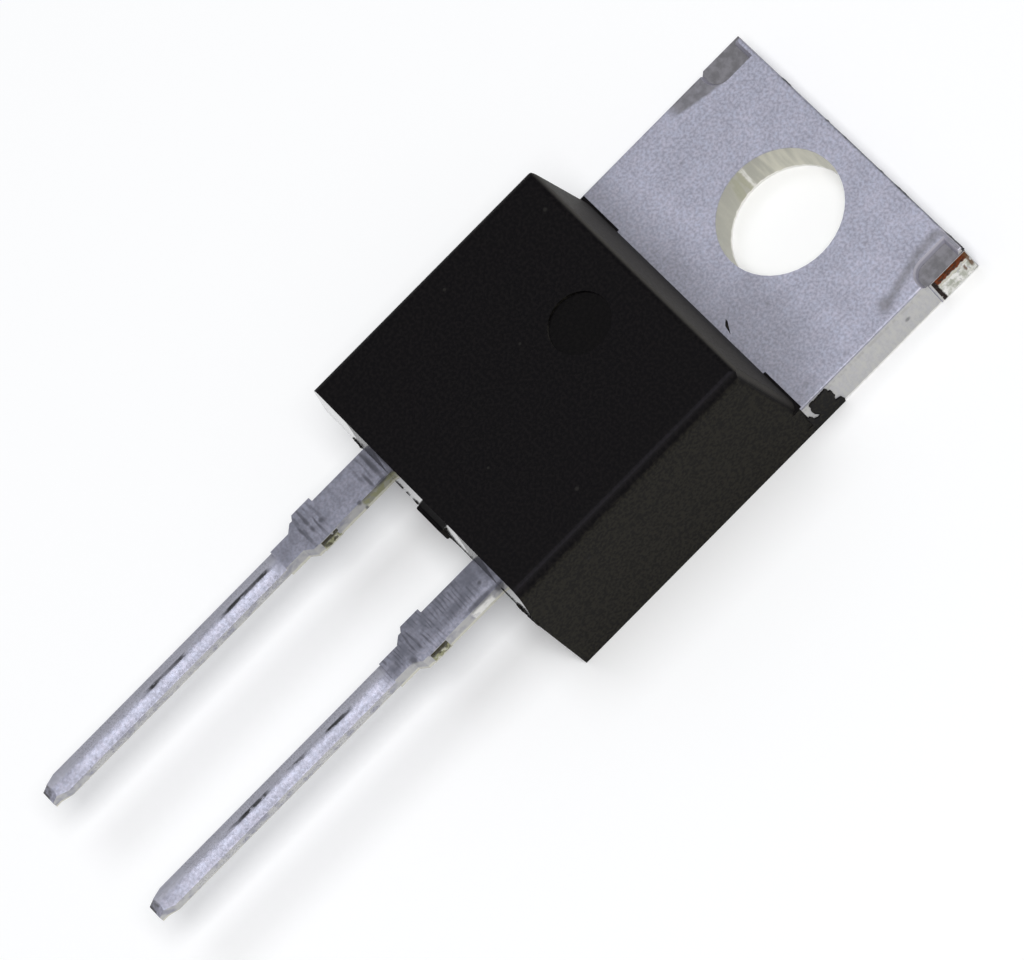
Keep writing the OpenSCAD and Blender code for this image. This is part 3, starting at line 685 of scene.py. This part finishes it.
def epoxy_colour(paint, grain):
    """Near-black, with painted light that makes the sides lighter and browner, a painted highlight on
    the rounded edges, a painted reflection on the face towards the tab, a dark dimple and specks of
    filler.
    """
    colour = paint.mix(paint.rise(grain, 0.4, 0.65), EPOXY_FRONT, EPOXY_GRAIN)
    sideways, lengthways, _ = paint.facing()
    # painted highlight on the rounded edges, chosen by the way they face
    rounded = paint.between(sideways, 0.28, 0.5, 0.1)
    colour = paint.mix(paint.times(rounded, paint.rise(grain, 0.35, 0.6, 0.5, 1.0)), colour, EPOXY_EDGE_HIGHLIGHT)
    # painted light: faces turned sideways are made lighter and browner
    side = paint.rise(sideways, 0.78, 0.97)
    colour = paint.mix(paint.times(side, paint.rise(grain, 0.38, 0.62, 0.3, 1.0)), colour, EPOXY_BROWN)
    # painted reflection on the face towards the tab, fainter near its foot
    upwards = paint.rise(paint.z, TAB_TOP, TAB_TOP + 1.5, 0.6, 1.0)
    colour = paint.mix(paint.times(paint.rise(lengthways, 0.5, 0.9), upwards), colour, EPOXY_END_REFLECTION)
    in_dimple = paint.spot(DIMPLE, (DIMPLE_R, DIMPLE_R, 0.05), soft=0.12)
    colour = paint.mix(paint.times(in_dimple, 0.4), colour, EPOXY_DIMPLE)
    for place, radius in EPOXY_SPECKS:
        speck = paint.spot(place, (radius, radius, radius), soft=0.5)
        colour = paint.mix(speck, colour, EPOXY_SPECK)
    return colour


def face_above_leads(paint):
    """Two masks of the lead end above the seam: its polish, and the mark of the torn-off gate in it."""
    facing_leads = paint.rise(paint.facing()[1], -0.9, -0.97)
    face = paint.times(facing_leads, paint.rise(paint.z, SEAM_Z - 0.01, SEAM_Z + 0.01))
    lean = paint.times(paint.math("SUBTRACT", paint.z, SEAM_Z), GATE_MARK_LEAN)
    over_gate = paint.near(paint.x, lean, GATE_HALF, 0.03)
    polished = paint.times(face, paint.math("SUBTRACT", 1.0, over_gate))
    for centre in (LEAD_LEFT_X, LEAD_RIGHT_X):
        over_lead = paint.near(paint.x, centre, LEAD_WIDE / 2, 0.03)
        polished = paint.times(polished, paint.rise(over_lead, 0.0, 1.0, 1.0, COAT_OVER_LEADS))
    return polished, paint.times(face, over_gate)


def make_epoxy_material():
    """Moulding compound: matte with a fine grain, and glossy on the face above the leads."""
    paint = Paint("epoxy")
    grain = paint.noise(10, detail=4)
    colour = epoxy_colour(paint, grain)
    polished, gate_mark = face_above_leads(paint)
    matte = paint.math("SUBTRACT", 1.0, polished)
    paint.bump(paint.times(grain, matte), EPOXY_DEPTH)
    roughness = paint.times(paint.rise(grain, 0.3, 0.7, *EPOXY_ROUGHNESS), matte)
    roughness = paint.math("ADD", roughness, paint.times(gate_mark, GATE_ROUGHNESS))
    roughness = paint.math("ADD", roughness, POLISHED_ROUGHNESS)
    paint.feed(paint.shader.inputs["Coat Weight"], polished)
    paint.feed(paint.shader.inputs["Coat Roughness"], COAT_ROUGHNESS)
    paint.feed(paint.shader.inputs["Coat IOR"], COAT_IOR)
    return paint.finish(colour, roughness, specular=EPOXY_SPECULAR)


def make_flash_material():
    """Thin torn edges of moulding compound: black and matte."""
    paint = Paint("torn_epoxy")
    grain = paint.noise(13, detail=3)
    colour = paint.mix(paint.rise(grain, 0.4, 0.7), EPOXY_FRONT, EPOXY_BROWN)
    return paint.finish(colour, paint.rise(grain, 0.3, 0.7, *FLASH_ROUGHNESS), specular=0.1)


def make_plain_material(name, tones, roughness, metallic):
    """A finish for the pieces sealed inside the body: two tones in a fine mottle."""
    paint = Paint(name)
    colour = paint.mix(paint.rise(paint.noise(6, detail=3), 0.3, 0.7), *tones)
    return paint.finish(colour, roughness, metallic=metallic)


def smoothing_group():
    """Joins the solids' split corners and shades their arcs as smooth."""
    group = bpy.data.node_groups.new("smooth_by_angle", "GeometryNodeTree")
    group.interface.new_socket("Geometry", in_out="INPUT", socket_type="NodeSocketGeometry")
    group.interface.new_socket("Geometry", in_out="OUTPUT", socket_type="NodeSocketGeometry")
    nodes = group.nodes
    clear = nodes.new("GeometryNodeRemoveAttribute")
    clear.inputs["Name"].default_value = "custom_normal"
    join = nodes.new("GeometryNodeMergeByDistance")
    join.inputs["Distance"].default_value = JOIN_DISTANCE * MM
    faces = nodes.new("GeometryNodeSetShadeSmooth")
    faces.domain = "FACE"
    flat = nodes.new("FunctionNodeCompare")
    flat.operation = "LESS_THAN"
    flat.inputs["B"].default_value = SMOOTH_ANGLE
    angle = nodes.new("GeometryNodeInputMeshEdgeAngle")
    group.links.new(angle.outputs["Unsigned Angle"], flat.inputs["A"])
    edges = nodes.new("GeometryNodeSetShadeSmooth")
    edges.domain = "EDGE"
    group.links.new(flat.outputs[0], edges.inputs["Shade Smooth"])
    chain = [nodes.new("NodeGroupInput"), clear, join, faces, edges, nodes.new("NodeGroupOutput")]
    for before, after in zip(chain, chain[1:]):
        group.links.new(before.outputs["Geometry"], after.inputs["Geometry"])
    return group


def refine(node, material, smoothing):
    """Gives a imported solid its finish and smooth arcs."""
    node.data.materials.clear()
    node.data.materials.append(material)
    node.modifiers.new("smooth_arcs", "NODES").node_group = smoothing


def add_piece(name, bm, material):
    """Turns a mesh in millimetres into a piece that rides with the part."""
    bmesh.ops.recalc_face_normals(bm, faces=bm.faces)
    bmesh.ops.scale(bm, vec=(MM, MM, MM), verts=bm.verts)
    mesh = bpy.data.meshes.new(name)
    bm.to_mesh(mesh)
    bm.free()
    mesh.materials.append(material)
    piece = bpy.data.objects.new(name, mesh)
    bpy.context.scene.collection.objects.link(piece)
    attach(piece, "root")


def height_at(points, value):
    """The height of a line through the points (value, height)."""
    for (low, start), (high, end) in zip(points, points[1:]):
        if low <= value <= high:
            return start + (end - start) * (value - low) / (high - low)
    return 0.0


def skin(bm, rings):
    """Joins rings of equally many corners into a closed skin."""
    for ring, following in zip(rings, rings[1:]):
        for i in range(len(ring)):
            j = (i + 1) % len(ring)
            bm.faces.new((ring[i], ring[j], following[j], following[i]))
    bm.faces.new(rings[0][::-1])
    bm.faces.new(rings[-1])


def ragged_fin(bm, profile, place, out, thick, draw):
    """Adds a thin torn fin along X: it stands out of its place by the profile's reach, unevenly."""
    rings = []
    x = profile[0][0]
    while x < profile[-1][0]:
        reach = height_at(profile, x) * draw.uniform(*FIN_REACHES)
        foot = Vector((x, *place)) - FLASH_ROOT * out
        tip = Vector((x, *place)) + reach * out
        half = Vector((0, 0, thick / 2))
        droop = Vector((0, 0, draw.uniform(-FIN_DROOP, FIN_DROOP) * reach))
        corners = (foot - half, tip + droop - FIN_TIP * half, tip + droop + FIN_TIP * half, foot + half)
        rings.append([bm.verts.new(corner) for corner in corners])
        x += FLASH_STEP * draw.uniform(*FIN_STEPS)
    skin(bm, rings)


def torn_border(draw):
    """Points (y, z) along the film's outline, each torn a little out of line."""
    border = []
    for (y0, z0), (y1, z1) in zip(FILM_OUTLINE, FILM_OUTLINE[1:] + FILM_OUTLINE[:1]):
        steps = max(1, round(math.hypot(y1 - y0, z1 - z0) / FILM_STEP))
        for k in range(steps):
            y = y0 + (y1 - y0) * k / steps + draw.uniform(-FILM_TEAR, FILM_TEAR)
            z = z0 + (z1 - z0) * k / steps + draw.uniform(-FILM_TEAR, FILM_TEAR)
            border.append((y, z))
    return border


def torn_film(draw):
    """A thin film on the tab's right wall, with a broken outline and a border that thins out."""
    bm = bmesh.new()
    border = torn_border(draw)
    rings = []
    for rise, inward in ((-FILM_SINK, 0.0), (0.5 * FILM_THICK, 0.0), (FILM_THICK, FILM_THIN)):
        ring = []
        for before, (y, z), after in zip(border[-1:] + border[:-1], border, border[1:] + border[:1]):
            across = Vector((after[1] - before[1], before[0] - after[0])).normalized()
            ring.append(bm.verts.new((FILM_X + rise, y + inward * across.x, z + inward * across.y)))
        rings.append(ring)
    skin(bm, rings)
    bm.normal_update()
    bmesh.ops.triangulate(bm, faces=bm.faces[:], ngon_method="EAR_CLIP")
    return bm


def torn_height(seed, y, z):
    """Height of the torn metal, from about 0 to 1: upright ridges with finer tears over them."""
    ridges = noise.noise(Vector((seed, y * RIDGES[0], z * RIDGES[1])))
    tears = noise.noise(Vector((seed, y * TEARS[0], z * TEARS[1])))
    return 0.5 + (ridges + TEAR_SHARE * tears)


def broken_face(corners, x, out, seed):
    """A torn metal face at x, between two corners (y, z): upright ridges that fade to its border."""
    low, high = corners
    bm = bmesh.new()
    columns = max(4, round((high[0] - low[0]) / BREAK_STEP))
    rows = max(4, round((high[1] - low[1]) / BREAK_STEP))
    grid = []
    for i in range(columns + 1):
        line = []
        for j in range(rows + 1):
            y = low[0] + (high[0] - low[0]) * i / columns
            z = low[1] + (high[1] - low[1]) * j / rows
            border = min(i, columns - i, j, rows - j, 2) / 2
            rise = BREAK_DEPTH * border * torn_height(seed, y, z)
            line.append(bm.verts.new((x + out * rise, y, z)))
        grid.append(line)
    for i in range(columns):
        for j in range(rows):
            bm.faces.new((grid[i][j], grid[i + 1][j], grid[i + 1][j + 1], grid[i][j + 1]))
    rim = [e for e in bm.edges if e.is_boundary]
    walls = bmesh.ops.extrude_edge_only(bm, edges=rim)["geom"]
    sunk = [v for v in walls if isinstance(v, bmesh.types.BMVert)]
    bmesh.ops.translate(bm, vec=(-out * BREAK_SINK, 0, 0), verts=sunk)
    bmesh.ops.contextual_create(bm, geom=[e for e in bm.edges if e.is_boundary])
    return bm


def sliver():
    """A low, pointed streak of moulding compound that lies on the tab's face."""
    bm = bmesh.new()
    rings = []
    for (x, y), half in zip(SLIVER_LINE, SLIVER_HALF):
        ring = []
        for k in range(SLIVER_SIDES):
            turn = 2 * math.pi * k / SLIVER_SIDES
            across = half * math.cos(turn)
            up = SLIVER_HIGH * math.sin(turn) * half / max(SLIVER_HALF)
            side_x = x + SLIVER_ACROSS[0] * across
            side_y = y + SLIVER_ACROSS[1] * across
            ring.append(bm.verts.new((side_x, side_y, TAB_TOP + up)))
        rings.append(ring)
    skin(bm, rings)
    return bm


def make_details():
    """Torn flash, burrs and broken faces, too fine and uneven for the solids."""
    towards_leads = Vector((0, -1, 0))
    torn = make_flash_material()
    draw = random.Random(DRAW_SEED)
    flash = bmesh.new()
    for run in SEAM_FLASH:
        ragged_fin(flash, run, (SEAM_Y, SEAM_Z), towards_leads, FLASH_THICK, draw)
    add_piece("seam_flash", flash, torn)
    burrs = bmesh.new()
    profile = [(x, BURR_REACH * max(0.0, dark - BURR_FROM)) for x, dark in END_LINE]
    ragged_fin(burrs, profile, (TAB_END, TAB_TOP - BURR_DROP), -towards_leads, BURR_THICK, draw)
    add_piece("tab_end_burrs", burrs, make_burr_material())
    add_piece("compound_sliver", sliver(), torn)
    add_piece("side_film", torn_film(draw), torn)
    make_broken_faces()


def make_broken_faces():
    """The torn metal where the tab's tie bars and both leads' dam bars were cut off."""
    tie = make_tie_break_material()
    add_piece("tie_break_right", broken_face(TIE_BREAK, EAR_RIGHT, 1, 1), tie)
    add_piece("tie_break_left", broken_face(TIE_BREAK, EAR_LEFT, -1, 2), tie)
    dam = make_dam_break_material()
    leads = (("left", LEAD_LEFT_X, "tinned_copper"), ("right", LEAD_RIGHT_X, "tinned_lead"))
    for lead, centre, slot in leads:
        outer = centre + LEAD_WIDE / 2 + BAR_RIGHT
        inner = centre - LEAD_WIDE / 2 - BAR_LEFT
        add_piece(f"dam_break_{lead}_1", broken_face(DAM_BREAK, outer, 1, 3 + centre), dam)
        add_piece(f"dam_break_{lead}_2", broken_face(DAM_BREAK, inner, -1, 4 + centre), dam)


def make_floor():
    """A pale floor that shows as white and keeps the object's shadow."""
    half = FLOOR_SIZE * MM / 2
    bm = bmesh.new()
    corners = [(-half, -half, 0), (half, -half, 0), (half, half, 0), (-half, half, 0)]
    bm.faces.new([bm.verts.new(c) for c in corners])
    mesh = bpy.data.meshes.new("floor")
    bm.to_mesh(mesh)
    bm.free()
    floor = bpy.data.objects.new("floor", mesh)
    floor.location.z = -FLOOR_DROP * MM
    bpy.context.scene.collection.objects.link(floor)
    floor.data.materials.append(make_floor_material())


def make_floor_material():
    """A plain pale sheet that glows a little to the camera and in mirrors, so that it shows as white."""
    material = bpy.data.materials.new("floor")
    material.use_nodes = True
    tree = material.node_tree
    shader = tree.nodes["Principled BSDF"]
    shader.inputs["Base Color"].default_value = (*FLOOR_COLOUR, 1)
    shader.inputs["Roughness"].default_value = 1.0
    shader.inputs["Specular IOR Level"].default_value = 0.0
    path = tree.nodes.new("ShaderNodeLightPath")
    seen = path.outputs["Is Camera Ray"]
    for other in ("Is Glossy Ray", "Is Transmission Ray"):
        either = tree.nodes.new("ShaderNodeMath")
        either.operation = "MAXIMUM"
        tree.links.new(seen, either.inputs[0])
        tree.links.new(path.outputs[other], either.inputs[1])
        seen = either.outputs[0]
    glow = tree.nodes.new("ShaderNodeMath")
    glow.operation = "MULTIPLY"
    glow.inputs[1].default_value = FLOOR_GLOW
    tree.links.new(seen, glow.inputs[0])
    tree.links.new(glow.outputs[0], shader.inputs["Emission Strength"])
    shader.inputs["Emission Color"].default_value = (1, 1, 1, 1)
    return material


def make_light(name, towards, size, share, colour):
    """A square soft light that gives the floor its share of the full level."""
    direction = Vector(towards).normalized()
    distance = LIGHT_DISTANCE * MM
    data = bpy.data.lights.new(name, "AREA")
    data.size = size * MM
    data.color = colour
    data.energy = FULL_LEVEL * share * distance**2 / direction.z
    light = bpy.data.objects.new(name, data)
    light.location = direction * distance
    light.rotation_euler = direction.to_track_quat("Z", "Y").to_euler()
    bpy.context.scene.collection.objects.link(light)


def make_world():
    """Even light from all round."""
    world = bpy.data.worlds.new("studio")
    world.use_nodes = True
    background = world.node_tree.nodes["Background"]
    background.inputs["Color"].default_value = (*WORLD_COLOUR, 1)
    background.inputs["Strength"].default_value = WORLD_SHARE
    bpy.context.scene.world = world


def make_camera():
    """Looks down on the part from its right, rolled so that the leads point to the lower left."""
    back = Vector((math.sin(CAMERA_TILT_X), math.sin(CAMERA_TILT_Y), 0))
    back.z = math.sqrt(1 - back.length_squared)
    across = (Vector((1, 0, 0)) - back * back.x).normalized()
    along = back.cross(across)
    right = math.cos(CAMERA_ROLL) * across + math.sin(CAMERA_ROLL) * along
    up = math.cos(CAMERA_ROLL) * along - math.sin(CAMERA_ROLL) * across
    place = CAMERA_DISTANCE * back + FRAME_SHIFT_RIGHT * right + FRAME_SHIFT_UP * up
    data = bpy.data.cameras.new("camera")
    data.sensor_width = SENSOR_WIDTH
    data.lens = FOCAL_PIXELS * SENSOR_WIDTH / IMAGE_WIDTH
    data.clip_start = CAMERA_NEAR * MM
    camera = bpy.data.objects.new("camera", data)
    matrix = Matrix((right, up, back)).transposed().to_4x4()
    matrix.translation = place * MM
    camera.matrix_world = matrix
    bpy.context.scene.collection.objects.link(camera)
    bpy.context.scene.camera = camera


def make_part():
    """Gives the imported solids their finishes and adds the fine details."""
    smoothing = smoothing_group()
    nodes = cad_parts
    refine(nodes["moulded_body"], make_epoxy_material(), smoothing)
    refine(nodes["tab_and_cathode_lead"], make_tab_material(), smoothing)
    refine(nodes["anode_lead"], make_lead_material(), smoothing)
    silicon = make_plain_material("silicon", SILICON_TONES, roughness=0.2, metallic=0.0)
    refine(nodes["silicon_die"], silicon, smoothing)
    solder = make_plain_material("solder", SOLDER_TONES, roughness=0.45, metallic=0.8)
    refine(nodes["die_solder"], solder, smoothing)
    wire = make_plain_material("bond_wire", WIRE_TONES, roughness=0.35, metallic=0.9)
    refine(nodes["bond_wire_1"], wire, smoothing)
    refine(nodes["bond_wire_2"], wire, smoothing)
    make_details()


make_camera()
make_world()
make_light("overhead", OVERHEAD_FROM, OVERHEAD_SIZE, OVERHEAD_SHARE, OVERHEAD_COLOUR)
make_light("right", RIGHT_FROM, RIGHT_SIZE, RIGHT_SHARE, RIGHT_COLOUR)
make_floor()
make_part()
bpy.context.scene.view_settings.view_transform = "Standard"
